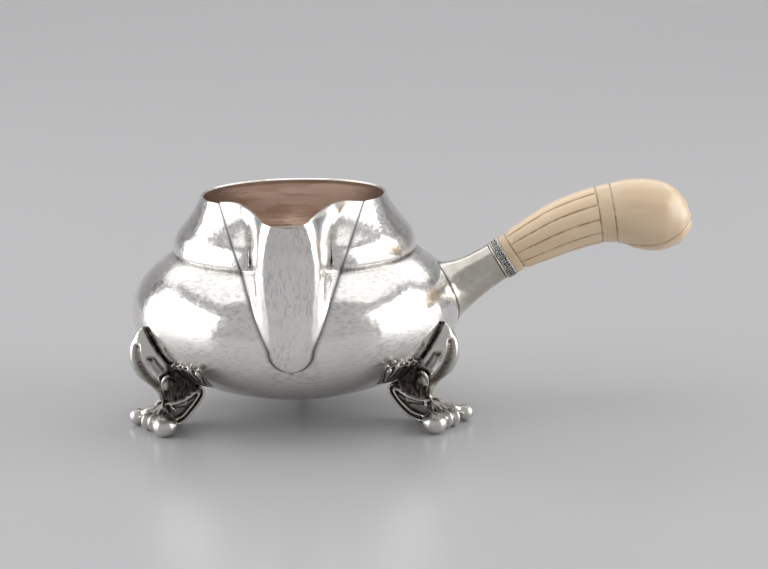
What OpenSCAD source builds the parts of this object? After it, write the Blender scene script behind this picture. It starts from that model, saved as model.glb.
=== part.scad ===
// Silver sauce boat: a round-bellied vessel with a waisted collar and a wide pouring
// spout, standing on three cast paw feet, with a carved ivory side handle.
// The origin is on the table, under the middle of the vessel. +Z is up, the spout
// points along -Y and the handle along +X. All lengths are millimetres.

/* [Vessel] */
// Radius of the belly at its widest
belly_r = 54.4; // [52:0.2:57]
// Height of the widest line of the belly above the table
belly_z = 34.5; // [33.5:0.25:35.5]
// How far the belly reaches down below its widest line
belly_drop = 29; // [27.5:0.25:29.5]
// How far the belly's curve rises above its widest line
belly_rise = 28.3; // [27:0.1:30]
// Height of the crease between belly and collar
crease_z = 53.5; // [52.5:0.25:54.5]
// Height of the rim above the table
rim_z = 72.6; // [70:0.2:76]
// Radius of the rim
rim_r = 30.6; // [30:0.2:31.2]
// Thickness of the raised silver sheet
sheet = 1; // [0.8:0.05:1.2]

/* [Spout] */
// Half width of the spout seam at the rim
seam_half_w = 23.2; // [22:0.2:24.5]
// Height where the round end of the spout seam is centred
seam_round_z = 31.5; // [30:0.5:33]
// Radius of the round lower end of the seam
seam_round_r = 7; // [6:0.25:8]
// How far the pouring lip stands out beyond the rim
lip_reach = 26.4; // [24:0.2:28]
// How far the pouring lip dips below the rim
lip_dip = 1.3; // [0:0.1:3]

/* [Feet] */
// Angle of each front foot from the spout
front_foot_angle = 61; // [56:1:66]
// Half width of the knee of a foot
knee_half_w = 5.3; // [4.5:0.1:6]
// Radius of the largest toe ball
toe_r = 3.4; // [3:0.1:3.8]
// Radius from the vessel's axis at which the toes rest
toe_ring_r = 57; // [55:0.5:58.5]

/* [Handle] */
// Upward tilt of the silver socket
socket_tilt = 30.6; // [28:0.2:33]
// Outer radius of the socket at its outer end
socket_r = 6.5; // [6.2:0.1:7]
// Radius of the ivory tenon inside the socket
tenon_r = 5; // [4.5:0.1:5.2]
// Number of carved reeds round the ivory grip
reeds = 12; // [8:1:16]

/* [Hidden] */
$fn = 96;

// Gap left for solder between two silver pieces
solder = 0.06;
// Half width of the spout seam at any height above its round end
seam_slope = (seam_half_w - seam_round_r) / (rim_z - seam_round_z);
// Thickness of the leaf mounts
leaf_t = 2;
// Where the socket's axis leaves the bowl, and the stations along that axis
socket_x = 51.5;
socket_z = 39.3;
socket_end = 18.1;
bead_end = 19.0;
band_end = 21.9;
// The ivory's tenon, and the rivet that holds it
tenon_start = 8.5;
pin_at = 13;
pin_r = 0.9;

// Belly radius at a height, with the surface moved out by gap
function belly_at(z, gap = 0) =
    let (half_h = (z < belly_z ? belly_drop : belly_rise) + gap,
         t = (z - belly_z) / half_h)
    (belly_r + gap) * sqrt(max(0, 1 - t * t));

// Points of the belly's curve from the middle of its underside up to the crease
function belly_curve(gap) =
    let (top = asin((crease_z - belly_z) / (belly_rise + gap)))
    [for (i = [0 : 40])
        let (a = -90 + (90 + top) * i / 40,
             h = a < 0 ? belly_drop : belly_rise)
        [(belly_r + gap) * cos(a), belly_z + (h + gap) * sin(a)]];

// The collar's outer curve: [radius, share of the height from crease to rim]
collar_stations = [[belly_at(crease_z), 0], [40.2, 0.11], [39.6, 0.24], [38.4, 0.38],
                   [36.1, 0.53], [33.5, 0.71], [31.7, 0.88], [rim_r, 1]];

// A smooth curve through every point of a list, n steps from each to the next
function bend(a, b, c, d, t) =
    0.5 * (2 * b + (c - a) * t + (2 * a - 5 * b + 4 * c - d) * t * t
           + (3 * b - a - 3 * c + d) * t * t * t);
function through(pts, n) =
    let (last = len(pts) - 1)
    [for (i = [0 : last - 1], k = [0 : n - 1])
        bend(pts[max(i - 1, 0)], pts[i], pts[i + 1], pts[min(i + 2, last)], k / n),
     pts[last]];

function collar_curve(gap) =
    [for (p = through(collar_stations, 3))
        [p[0] + gap, crease_z + solder + p[1] * (rim_z - crease_z - solder)]];

// Outer radius of the vessel at any height
function vessel_at(z) =
    z < crease_z ? belly_at(z)
                 : lookup(z, [for (p = collar_curve(0)) [p[1], p[0]]]);

// Half width of the spout seam at a height
function seam_at(z) =
    let (below = seam_round_z - z,
         side = seam_round_r + (z - seam_round_z) * seam_slope)
    below < 0 ? side : sqrt(max(0, seam_round_r * seam_round_r - below * below));

// The seam's outline as seen from the front, filled
module seam_shape(gap) {
    top = rim_z + 10;
    round_steps = 12;
    lower = [for (i = [0 : round_steps])
        let (a = 180 + 180 * i / round_steps)
        [(seam_round_r + gap) * cos(a), seam_round_z + (seam_round_r + gap) * sin(a)]];
    upper_w = seam_round_r + (top - seam_round_z) * seam_slope + gap;
    polygon(concat([[-upper_w, top]], lower, [[upper_w, top]]));
}

// The opening for the spout, cut through the front of the vessel
module spout_opening() {
    rotate([90, 0, 0])
        linear_extrude(belly_r + 20)
            seam_shape(0);
}

// Hollow shape of revolution between a curve and the same curve drawn inside it
module sheet_ring(outer, inner) {
    rotate_extrude()
        polygon(concat(outer, [for (i = [len(inner) - 1 : -1 : 0]) inner[i]]));
}

module lower_bowl() {
    color("silver")
        difference() {
            sheet_ring(belly_curve(0), belly_curve(-sheet));
            spout_opening();
        }
}

module neck_collar() {
    color("silver")
        difference() {
            sheet_ring(collar_curve(0), collar_curve(-sheet));
            spout_opening();
        }
}

// The spout: a raised channel that fills the seam's outline. It stands out from the
// vessel by a smooth ridge: [height, radius of its front line, half width, squareness]
ridge = [[24, 52, 6.5, 3], [28, 54.5, 7.6, 3.5], [32, 56.2, 8.3, 4], [38, 57.3, 8.7, 5],
         [44, 57.8, 10, 5], [50, 58, 11.4, 6], [57, 58.1, 12.4, 6], [65, 58, 12.2, 4.6],
         [rim_z, rim_r + lip_reach, 10.8, 2.8]];
smooth_ridge = through(ridge, 3);
function ridge_at(z, k) = lookup(z, [for (s = smooth_ridge) [s[0], s[k]]]);
function spout_out(x, z, gap) =
    let (r = vessel_at(min(z, rim_z)),
         reach = ridge_at(z, 1) - r,
         wide = ridge_at(z, 2),
         power = ridge_at(z, 3))
    sqrt(max(0, pow(r + gap, 2) - x * x)) + reach * exp(-pow(abs(x) / wide, power));

// Height of the spout's top edge: shoulders a little above the rim, then the lip's dip
function lip_z(x) =
    let (t = abs(x) / seam_half_w)
    rim_z + 0.9 * sin(180 * t) - lip_dip * exp(-pow(t / 0.27, 2));

spout_rows = 36;
spout_cols = 36;
spout_low = seam_round_z - seam_round_r + 0.35;
// A point of the spout's outer face: u runs across from -1 to 1, v from bottom to lip
function spout_point(u, v, gap) =
    let (rough_z = spout_low + (rim_z - spout_low) * v,
         z = spout_low + (lip_z(u * seam_at(rough_z)) - spout_low) * v,
         x = u * (seam_at(z) - solder / 2))
    [x, -spout_out(x, z, gap), z];
// The matching point of its inner face, one sheet behind it. Along the seam the inner
// edge keeps to the opening's straight sides.
function spout_back(u, v) =
    let (p = spout_point(u, v, 0),
         across = spout_point(u + 0.01, v, 0) - spout_point(u - 0.01, v, 0),
         up = spout_point(u, v + 0.01, 0) - spout_point(u, v - 0.01, 0),
         n = cross(across, up),
         share = pow(abs(u), 6))
    (1 - share) * (p - sheet * n / norm(n)) + share * spout_point(u, v, -sheet);

// Faces of two matching grids of points, rows by cols, joined round their four edges
function slab_faces(rows, cols) =
    let (layer = (rows + 1) * (cols + 1),
         at = function (k, i, j) k * layer + i * (cols + 1) + j)
    [for (i = [0 : rows - 1], j = [0 : cols - 1])
        each [[at(0, i, j), at(0, i + 1, j), at(0, i + 1, j + 1)],
              [at(0, i, j), at(0, i + 1, j + 1), at(0, i, j + 1)],
              [at(1, i, j), at(1, i + 1, j + 1), at(1, i + 1, j)],
              [at(1, i, j), at(1, i, j + 1), at(1, i + 1, j + 1)]],
     for (i = [0 : rows - 1])
        each [[at(0, i, 0), at(1, i, 0), at(1, i + 1, 0)],
              [at(0, i, 0), at(1, i + 1, 0), at(0, i + 1, 0)],
              [at(0, i, cols), at(0, i + 1, cols), at(1, i + 1, cols)],
              [at(0, i, cols), at(1, i + 1, cols), at(1, i, cols)]],
     for (j = [0 : cols - 1])
        each [[at(0, 0, j), at(0, 0, j + 1), at(1, 0, j + 1)],
              [at(0, 0, j), at(1, 0, j + 1), at(1, 0, j)],
              [at(0, rows, j), at(1, rows, j), at(1, rows, j + 1)],
              [at(0, rows, j), at(1, rows, j + 1), at(0, rows, j + 1)]]];

// Faces of a closed tube of rings, each with the same number of points
function tube_faces(rings, per) = concat(
    [[for (i = [per - 1 : -1 : 0]) i]],
    [[for (i = [0 : per - 1]) (rings - 1) * per + i]],
    [for (k = [0 : rings - 2], i = [0 : per - 1])
        let (a = k * per + i, b = k * per + (i + 1) % per)
        each [[a, b + per, a + per], [a, b, b + per]]]);

module spout() {
    grid = [for (i = [0 : spout_rows], j = [0 : spout_cols])
        [2 * j / spout_cols - 1, i / spout_rows]];
    outer = [for (g = grid) spout_point(g[0], g[1], 0)];
    inner = [for (g = grid) spout_back(g[0], g[1])];
    color("silver")
        polyhedron(concat(outer, inner), slab_faces(spout_rows, spout_cols), convexity = 6);
}

// Turns a foot or its leaf mount, drawn along +X, to its place round the vessel
module at_foot(angle) {
    rotate([0, 0, angle - 90]) children();
}

// Leg from knee to ankle: [height, outer radius, half width]
leg_stations = [[33.4, 56.9, 0.15], [31, 58.5, 0.5], [28, 60, 0.85], [25, 60.3, 1],
                [22, 59.7, 1.05], [18.5, 58, 1.05], [15.5, 54.8, 0.95],
                [12.5, 51.9, 0.85], [9.9, 50.3, 0.7], [8.2, 50, 0.58], [6.8, 50.2, 0.3]];
leg_round = 14;
leg_back = 6;
// The leg lies against the belly above its leaf mount, and on the mount below that
function leg_gap(z) = lookup(z, [[22, leaf_t + 0.3], [24.5, 0.15]]);
function leg_inner(z, y) =
    let (r = max(belly_at(z, leg_gap(z)), 39.5))
    sqrt(r * r - y * y);

module leg() {
    rings = through(leg_stations, 2);
    per = leg_round + leg_back;
    points = [for (s = rings)
        let (z = s[0], w = s[2] * knee_half_w, root = leg_inner(z, w))
        each [for (i = [0 : leg_round])
                 let (a = -90 + 180 * i / leg_round)
                 [root + (s[1] - root) * cos(a), w * sin(a), z],
              for (i = [1 : leg_back - 1])
                 let (y = w - 2 * w * i / leg_back)
                 [leg_inner(z, y), y, z]]];
    polyhedron(points, tube_faces(len(rings), per), convexity = 4);
}

// Ankle, sole and heel: the thin web between the ankle and the toes
heel_outline = [[49.1, 10.6], [48.9, 7.7], [51.6, 6.6], [56, 5], [56, 0.7], [46, 0.3],
                [42.5, 2.2], [39.3, 4.8], [36.8, 8], [36.2, 9.8], [37.2, 11.3], [45, 11.7]];

// A toe: a ball on the table, drawn back to the ankle
module toe(r, side, reach) {
    hull() {
        translate([toe_ring_r + reach, side, r * 0.8]) sphere(r, $fn = 20);
        translate([51, side * 0.35, 4.6]) sphere(2, $fn = 20);
    }
}

module foot(angle, toe_side) {
    color("silver")
        at_foot(angle)
            mirror([0, toe_side < 0 ? 1 : 0, 0])
                difference() {
                    union() {
                        leg();
                        rotate([90, 0, 0])
                            linear_extrude(4.6, center = true)
                                polygon(heel_outline);
                        toe(toe_r, 10.6, -1.7);
                        toe(toe_r * 0.8, 2.2, -0.6);
                        toe(toe_r * 0.8, -7.4, 0);
                    }
                    translate([toe_ring_r, 0, -5]) cube([60, 60, 10], center = true);
                }
}
module foot_front_left() { foot(-front_foot_angle, 1); }
module foot_front_right() { foot(front_foot_angle, -1); }
module foot_rear() { foot(180, 1); }

// Leaf mount: a winged plate shaped to the belly behind the root of a foot.
// [angle from the middle of the foot, lowest height, highest height]
leaf_outline = [[0, 13, 20.5], [8, 13.1, 21.5], [14, 13.6, 23], [20, 15.4, 24],
                [25, 18, 24], [28, 20.3, 22.6]];
function leaf_low(a) = lookup(abs(a), [for (s = leaf_outline) [s[0], s[1]]]);
function leaf_high(a) = lookup(abs(a), [for (s = leaf_outline) [s[0], s[2]]]);
leaf_rows = 6;
leaf_cols = 28;
leaf_reach = 28;
module leaf_mount(angle) {
    function face(gap) =
        [for (i = [0 : leaf_rows], j = [0 : leaf_cols])
            let (a = leaf_reach * (2 * j / leaf_cols - 1),
                 z = leaf_low(a) + (leaf_high(a) - leaf_low(a)) * i / leaf_rows,
                 r = belly_at(z, gap))
            [r * cos(a), r * sin(a), z]];
    color("dimgray")
        at_foot(angle)
            polyhedron(concat(face(leaf_t), face(0.1)), slab_faces(leaf_rows, leaf_cols),
                       convexity = 4);
}
module leaf_mount_front_left() { leaf_mount(-front_foot_angle); }
module leaf_mount_front_right() { leaf_mount(front_foot_angle); }
module leaf_mount_rear() { leaf_mount(180); }

// Places children on the socket's axis, which runs outwards along their +Z
module on_socket_axis(along = 0) {
    translate([socket_x, 0, socket_z])
        rotate([0, 90 - socket_tilt, 0])
            translate([0, 0, along])
                children();
}

// Hole for the rivet, square to the socket's axis
module pin_hole() {
    on_socket_axis(pin_at)
        rotate([0, 90, 0])
            cylinder(r = pin_r + 0.03, h = 40, center = true, $fn = 48);
}

// Trumpet-shaped socket, soldered to the side of the bowl: [along the axis, radius]
flare = [[-8, 15.5], [-4, 12.6], [-1, 10.6], [2, 9], [5, 7.9], [8, 7.2], [11, 6.75],
         [socket_end - 3, socket_r], [socket_end, socket_r]];
module handle_socket() {
    color("silver")
        difference() {
            on_socket_axis()
                rotate_extrude()
                    polygon(concat([for (p = flare) [p[1], p[0]]],
                                   [[tenon_r + 0.06, socket_end], [tenon_r + 0.06, 8],
                                    [7.4, 2], [13.5, -8]]));
            rotate_extrude()
                polygon(concat(belly_curve(solder), [[0, crease_z + 20]]));
            pin_hole();
        }
}

// A ring on the socket's axis with a rounded outside
module ring(from, to, outer, round) {
    on_socket_axis(from)
        rotate_extrude()
            difference() {
                union() {
                    translate([outer - round - 2, 0]) square([2 + round / 2, to - from]);
                    translate([outer - round, round]) circle(round, $fn = 32);
                    translate([outer - round, to - from - round]) circle(round, $fn = 32);
                    translate([outer - round, round]) square([round, to - from - 2 * round]);
                }
                square([tenon_r + 0.06, to - from]);
            }
}
module socket_bead() {
    color("silver") ring(socket_end + solder, bead_end, socket_r + 0.4, 0.4);
}
module ferrule_band() {
    color("gray") ring(bead_end + solder, band_end, socket_r + 0.25, 0.2);
}

// Carved grip: [x, height, radius] of its sections from the ferrule to the rounded end
grip_start = band_end + solder;
function on_axis(s) = [socket_x + s * cos(socket_tilt), socket_z + s * sin(socket_tilt)];
grip_stations = [[on_axis(grip_start)[0], on_axis(grip_start)[1], 6.6],
                 [on_axis(grip_start + 2)[0], on_axis(grip_start + 2)[1], 6.75],
                 [80, 55.7, 7.9], [87, 59.1, 8.7], [94, 61.7, 9.1], [100.4, 63.5, 9.3],
                 [105.3, 64.2, 9.9], [110.5, 64.4, 10.9], [115.7, 63.7, 11.6],
                 [121.3, 62.6, 11.2], [126, 62, 9.1], [128.5, 61.9, 6.9],
                 [130, 61.9, 4.6], [130.8, 62, 2.4], [131.1, 62, 0.4]];
grip_first_reed = 74;
grip_last_reed = 99.5;
grip_round = 72;
module grip() {
    rings = through(grip_stations, 2);
    last = len(rings) - 1;
    points = [for (k = [0 : last])
        let (s = rings[k],
             ahead = rings[min(k + 1, last)] - rings[max(k - 1, 0)],
             tilt = atan2(ahead[1], ahead[0]),
             reeded = s[0] > grip_first_reed && s[0] < grip_last_reed)
        each [for (i = [0 : grip_round - 1])
            let (a = 360 * i / grip_round,
                 cut = reeded ? 0.4 * pow(abs(cos(reeds * a / 2)), 8) : 0,
                 r = s[2] - cut)
            [s[0] - r * cos(a) * sin(tilt), r * sin(a), s[1] + r * cos(a) * cos(tilt)]]];
    polyhedron(points, tube_faces(last + 1, grip_round), convexity = 4);
}
module ivory_handle() {
    color("ivory")
        difference() {
            union() {
                grip();
                on_socket_axis(tenon_start)
                    cylinder(r = tenon_r, h = grip_start + 3 - tenon_start);
            }
            pin_hole();
        }
}

module handle_pin() {
    color("silver")
        on_socket_axis(pin_at)
            rotate([0, 90, 0])
                cylinder(r = pin_r, h = 2 * socket_r, center = true, $fn = 48);
}

lower_bowl();
neck_collar();
spout();
foot_front_left();
foot_front_right();
foot_rear();
leaf_mount_front_left();
leaf_mount_front_right();
leaf_mount_rear();
handle_socket();
socket_bead();
ferrule_band();
ivory_handle();
handle_pin();
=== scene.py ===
import math
import random

import bpy
import numpy as np
from mathutils import Matrix, Vector
from mathutils.kdtree import KDTree


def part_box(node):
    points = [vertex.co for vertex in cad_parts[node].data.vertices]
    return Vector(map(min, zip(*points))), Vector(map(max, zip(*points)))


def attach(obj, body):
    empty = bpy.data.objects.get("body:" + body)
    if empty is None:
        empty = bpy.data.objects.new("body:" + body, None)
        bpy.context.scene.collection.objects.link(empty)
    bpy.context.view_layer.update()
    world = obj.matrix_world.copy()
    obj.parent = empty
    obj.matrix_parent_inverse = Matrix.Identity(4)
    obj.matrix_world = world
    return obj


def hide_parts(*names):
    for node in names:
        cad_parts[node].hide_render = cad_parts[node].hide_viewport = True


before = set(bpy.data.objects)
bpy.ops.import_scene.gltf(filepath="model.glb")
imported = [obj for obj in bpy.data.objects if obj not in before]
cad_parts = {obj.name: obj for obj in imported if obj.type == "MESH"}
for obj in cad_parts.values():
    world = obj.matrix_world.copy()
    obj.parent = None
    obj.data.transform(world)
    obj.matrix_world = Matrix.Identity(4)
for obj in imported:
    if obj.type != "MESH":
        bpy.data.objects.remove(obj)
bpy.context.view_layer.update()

MM = 0.001

# ---- sizes, in millimetres

bowl_low, bowl_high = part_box("lower_bowl")
collar_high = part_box("neck_collar")[1]
spout_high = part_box("spout")[1]

BELLY_R = 54.4
BELLY_Z = 34.5
BOWL_FLOOR_Z = bowl_low.z / MM
BELLY_DROP = BELLY_Z - BOWL_FLOOR_Z
BELLY_RISE = 28.3
CREASE_Z = bowl_high.z / MM
RIM_Z = collar_high.z / MM
RIM_R = 30.6
SHEET = 1.0
SEAM_HALF_W = spout_high.x / MM
SEAM_ROUND_Z = 31.5
SEAM_ROUND_R = 7.0
SEAM_FOOT_Z = SEAM_ROUND_Z - SEAM_ROUND_R
SEAM_SLOPE = (SEAM_HALF_W - SEAM_ROUND_R) / (RIM_Z - SEAM_ROUND_Z)
SOCKET_TILT = math.radians(30.6)
SOCKET_FOOT = Vector((51.5, 0, 39.3))
FOOT_TURNS = {"foot_front_left": -61, "foot_front_right": 61, "foot_rear": 180}


# ---- curves of the vessel

def smooth_line(points, steps=12):
    """Points along a smooth curve that goes through every given point."""
    p = np.array(points, float)
    p = np.vstack([2 * p[0] - p[1], p, 2 * p[-1] - p[-2]])
    out = []
    for i in range(1, len(p) - 2):
        a, b, c, d = p[i - 1:i + 3]
        for k in range(steps):
            t = k / steps
            out.append(0.5 * (2 * b + (c - a) * t + (2 * a - 5 * b + 4 * c - d) * t ** 2
                              + (3 * b - a - 3 * c + d) * t ** 3))
    out.append(p[-2])
    return np.array(out)


def belly_half(z):
    """Half height of the belly's curve, which is deeper below its widest line."""
    return np.where(z < BELLY_Z, BELLY_DROP, BELLY_RISE)


def belly_radius(z):
    z = np.asarray(z, float)
    half = belly_half(z)
    return BELLY_R * np.sqrt(np.clip(1 - ((z - BELLY_Z) / half) ** 2, 0, None))


COLLAR = smooth_line([(belly_radius(CREASE_Z), CREASE_Z), (40.2, 55.5), (39.7, 58),
                      (38.5, 60.6), (36.2, 63.5), (33.5, 67.1), (31.7, 70.2), (RIM_R, RIM_Z)])


def vessel_radius(z):
    z = np.asarray(z, float)
    return np.where(z < CREASE_Z, belly_radius(z), np.interp(z, COLLAR[:, 1], COLLAR[:, 0]))


def seam_half_width(z, lap=0.0):
    z = np.asarray(z, float)
    low_r = SEAM_ROUND_R + lap
    below = np.clip(SEAM_ROUND_Z - z, 0, low_r)
    arc = np.sqrt(low_r ** 2 - below ** 2)
    above = SEAM_ROUND_R + lap * np.exp(-(z - SEAM_ROUND_Z) / 3)
    return np.where(z < SEAM_ROUND_Z, arc, above + (z - SEAM_ROUND_Z) * SEAM_SLOPE)


def ease(x, low, high):
    """0 below low, 1 above high, and a smooth step between them."""
    t = np.clip((np.asarray(x, float) - low) / (high - low), 0, 1)
    return t * t * (3 - 2 * t)


# ---- bench tools

def deselect_all():
    bpy.ops.object.select_all(action="DESELECT")


def work_on(piece):
    deselect_all()
    piece.select_set(True)
    bpy.context.view_layer.objects.active = piece


def points_of(piece):
    co = np.empty(len(piece.data.vertices) * 3)
    piece.data.vertices.foreach_get("co", co)
    return co.reshape(-1, 3) / MM


def put_points(piece, co):
    piece.data.vertices.foreach_set("co", (co * MM).ravel())
    piece.data.update()


def normals_of(piece):
    no = np.empty(len(piece.data.vertices) * 3)
    piece.data.vertices.foreach_get("normal", no)
    return no.reshape(-1, 3)


def note(piece, name, values):
    """Stores one number for every point of a piece, for its finish to read."""
    layer = piece.data.attributes.get(name)
    layer = layer or piece.data.attributes.new(name, "FLOAT", "POINT")
    layer.data.foreach_set("value", np.asarray(values, np.float32))


def apply_all(piece):
    work_on(piece)
    for mod in list(piece.modifiers):
        bpy.ops.object.modifier_apply(modifier=mod.name)


def edit_all():
    """Opens the active piece for editing, with all of it selected."""
    bpy.ops.object.mode_set(mode="EDIT")
    bpy.ops.mesh.select_all(action="SELECT")


def done_editing():
    bpy.ops.object.mode_set(mode="OBJECT")


def tidy_mesh(piece, merge, outwards=True):
    """Merges double points and turns every face outwards."""
    work_on(piece)
    edit_all()
    bpy.ops.mesh.remove_doubles(threshold=merge * MM)
    if outwards:
        bpy.ops.mesh.normals_make_consistent(inside=False)
    done_editing()
    bpy.ops.object.shade_smooth()


def draw_line(name, points, unit=MM):
    """Draws a line by extruding one point again and again, and leaves it open for editing."""
    deselect_all()
    bpy.ops.mesh.primitive_plane_add(size=unit)
    piece = bpy.context.object
    piece.name = name
    edit_all()
    bpy.ops.mesh.merge(type="CENTER")
    bpy.ops.transform.translate(value=Vector(points[0]) * unit)
    for here, there in zip(points[:-1], points[1:]):
        step = Vector([b - a for a, b in zip(here, there)]) * unit
        bpy.ops.mesh.extrude_region_move(TRANSFORM_OT_translate={"value": step})
    bpy.ops.mesh.select_all(action="SELECT")
    return piece


def lathe(name, outline, steps, sweep=360.0):
    """Draws an outline of (radius, height) points and spins it round the upright axis,
    starting on the spout's side."""
    piece = draw_line(name, [(0, -r, z) for r, z in outline])
    bpy.ops.mesh.spin(steps=steps, angle=math.radians(sweep), center=(0, 0, 0), axis=(0, 0, -1),
                      use_auto_merge=sweep == 360)
    done_editing()
    return piece


FINE_MERGE = 0.0005


def flat_grid(name, columns, rows):
    """A flat grid of faces, with each point's place across (-1 to 1) and along (0 to 1)."""
    deselect_all()
    bpy.ops.mesh.primitive_grid_add(x_subdivisions=columns, y_subdivisions=rows, size=2 * MM)
    piece = bpy.context.object
    piece.name = name
    grid = points_of(piece)
    return piece, grid[:, 0], (grid[:, 1] + 1) / 2


def loft(name, sections):
    """Rolls a flat grid into a tube that runs through every section, and fills its ends."""
    sections = np.array(sections, float)
    rows, count = sections.shape[:2]
    piece, u, v = flat_grid(name, count, rows - 1)
    i = np.round((u + 1) / 2 * count).astype(int) % count
    k = np.round(v * (rows - 1)).astype(int)
    put_points(piece, sections[k, i])
    tidy_mesh(piece, merge=FINE_MERGE, outwards=False)
    edit_all()
    bpy.ops.mesh.fill_holes(sides=0)
    done_editing()
    tidy_mesh(piece, merge=FINE_MERGE)
    return piece


def tube(name, path, radii, around=12):
    """A round rod along a smooth path."""
    path = np.array(path, float)
    radii = np.broadcast_to(radii, len(path))
    ahead = np.gradient(path, axis=0)
    ahead /= np.linalg.norm(ahead, axis=1)[:, None]
    side = np.cross(ahead, (0, 0, 1) if abs(ahead[0][2]) < 0.9 else (1, 0, 0))
    side = np.where(np.linalg.norm(side, axis=1)[:, None] < 1e-6, (0, 1, 0), side)
    for k in range(1, len(path)):
        if side[k] @ side[k - 1] < 0:
            side[k] = -side[k]
    side /= np.linalg.norm(side, axis=1)[:, None]
    up = np.cross(side, ahead)
    turn = np.linspace(0, 2 * np.pi, around, endpoint=False)
    sections = [p + r * (np.cos(turn)[:, None] * s + np.sin(turn)[:, None] * u)
                for p, r, s, u in zip(path, radii, side, up)]
    return loft(name, sections)


def ball(name, centre, size, segments, rings):
    """A ball stretched to size along its own axes and put in place."""
    deselect_all()
    bpy.ops.mesh.primitive_uv_sphere_add(segments=segments, ring_count=rings, radius=MM)
    piece = bpy.context.object
    piece.name = name
    place = Matrix.Translation(Vector(centre) * MM)
    piece.data.transform(place @ Matrix.Diagonal((*np.broadcast_to(size, 3), 1)))
    return piece


def join(pieces, name):
    deselect_all()
    for p in pieces:
        p.select_set(True)
    bpy.context.view_layer.objects.active = pieces[0]
    bpy.ops.object.join()
    piece = bpy.context.object
    piece.name = name
    return piece


def copy_of(piece, name):
    work_on(piece)
    bpy.ops.object.duplicate()
    copy = bpy.context.object
    copy.name = name
    return copy


def cast_together(piece, grain, smoothing):
    """Melts overlapping solids into one skin, as a casting has."""
    work_on(piece)
    melt = piece.modifiers.new("melt", "REMESH")
    melt.mode = "VOXEL"
    melt.voxel_size = grain * MM
    soften = piece.modifiers.new("soften", "SMOOTH")
    soften.factor = 0.5
    soften.iterations = smoothing
    apply_all(piece)
    bpy.ops.object.shade_smooth()


def edges_of(piece):
    pairs = np.empty(len(piece.data.edges) * 2, int)
    piece.data.edges.foreach_get("vertices", pairs)
    return pairs.reshape(-1, 2)


def averaged(values, pairs, times):
    """Spreads values over neighbouring points, the given number of times."""
    count = np.bincount(pairs.ravel(), minlength=len(values)).astype(float)
    count = np.maximum(count, 1)
    for _ in range(times):
        total = np.zeros_like(values)
        np.add.at(total, pairs[:, 0], values[pairs[:, 1]])
        np.add.at(total, pairs[:, 1], values[pairs[:, 0]])
        shape = count if values.ndim == 1 else count[:, None]
        values = 0.4 * values + 0.6 * total / shape
    return values


def note_hollows(piece, times, scale):
    """Notes how deep in a hollow each point lies: 0 is proud, 1 is a deep hollow."""
    co, pairs = points_of(piece), edges_of(piece)
    sunk = ((averaged(co.copy(), pairs, times) - co) * normals_of(piece)).sum(1)
    note(piece, "hollow", averaged(np.clip(0.5 + sunk / (2 * scale), 0, 1), pairs, 1))


def tree_of(places):
    """A search tree of points, to find the nearest ones in."""
    tree = KDTree(len(places))
    for i, place in enumerate(places):
        tree.insert(place, i)
    tree.balance()
    return tree


def planish(piece, centres, depth, stretch, where):
    """Leaves a shallow flat for each hammer blow, with soft ridges between the flats."""
    stretch = np.array(stretch, float)
    tree = tree_of(centres * stretch)
    co, no = points_of(piece), normals_of(piece)
    first = np.empty(len(co))
    second = np.empty(len(co))
    for i, p in enumerate(co * stretch):
        near = tree.find_n(p, 2)
        first[i], second[i] = near[0][2], near[1][2]
    rise = depth * (np.clip(first / np.maximum(second, 1e-6), 0, 1) ** 2 - 0.5)
    put_points(piece, co + no * (rise * where)[:, None])


# ---- bowl and collar

GROOVE_DEPTH = 0.7
GROOVE_WIDTH = 0.55
# Columns of points round the vessel, over all but the slit that opens for the spout
COLUMNS = 420
SLIT_SWEEP = 359.9
# How far above the seam's foot the wall stays closed, behind the spout's tongue
SLIT_START = 1.2


def crease_groove(z):
    return GROOVE_DEPTH * np.exp(-((np.asarray(z, float) - CREASE_Z) / GROOVE_WIDTH) ** 2)


def hammer_courses(outline, spacing, along, dice):
    """Centres of the hammer blows, in rings round the vessel, each a little off its place."""
    step = np.linalg.norm(np.diff(outline, axis=0), axis=1)
    run = np.concatenate([[0], np.cumsum(step)])
    centres = []
    for s in np.arange(0, run[-1], spacing):
        r = np.interp(s, run, outline[:, 0])
        z = np.interp(s, run, outline[:, 1])
        count = max(1, round(2 * math.pi * r / along))
        shift = dice.random()
        for i in range(count):
            a = 2 * math.pi * (i + shift + dice.uniform(-0.3, 0.3)) / count
            rr = r + dice.uniform(-0.25, 0.25) * spacing
            zz = z + dice.uniform(-0.3, 0.3) * spacing
            centres.append((rr * math.sin(a), -rr * math.cos(a), zz))
    return np.array(centres)


WAVES = 14


def soft_waves(co, size, depth, dice):
    """A slow, irregular swell over a surface, as raised sheet keeps under its planishing."""
    swell = np.zeros(len(co))
    for _ in range(WAVES):
        d = np.array([dice.gauss(0, 1) for _ in range(3)])
        d *= 2 * math.pi / (size * np.linalg.norm(d))
        swell += np.sin(co @ d + dice.uniform(0, 6.28))
    return depth * swell / 4


def shake(piece, size, depth, dice):
    """Leaves a soft swell in the surface of a piece."""
    co = points_of(piece)
    put_points(piece, co + normals_of(piece) * soft_waves(co, size, depth, dice)[:, None])


def open_for_spout(piece):
    """Slides the points of a lathed wall round the vessel so that its slit takes the
    shape of the spout's seam."""
    co = points_of(piece)
    r = np.hypot(co[:, 0], co[:, 1])
    turn = np.mod(np.arctan2(co[:, 0], -co[:, 1]) + 1e-5, 2 * math.pi) - 1e-5
    half = np.arcsin(np.clip(seam_half_width(co[:, 2]) / np.maximum(r, 1), 0, 1))
    half = np.where(co[:, 2] > SEAM_FOOT_Z + SLIT_START, half, 0)
    turn = half + turn / math.radians(SLIT_SWEEP) * (2 * math.pi - 2 * half)
    co[:, 0], co[:, 1] = r * np.sin(turn), -r * np.cos(turn)
    put_points(piece, co)


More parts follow.
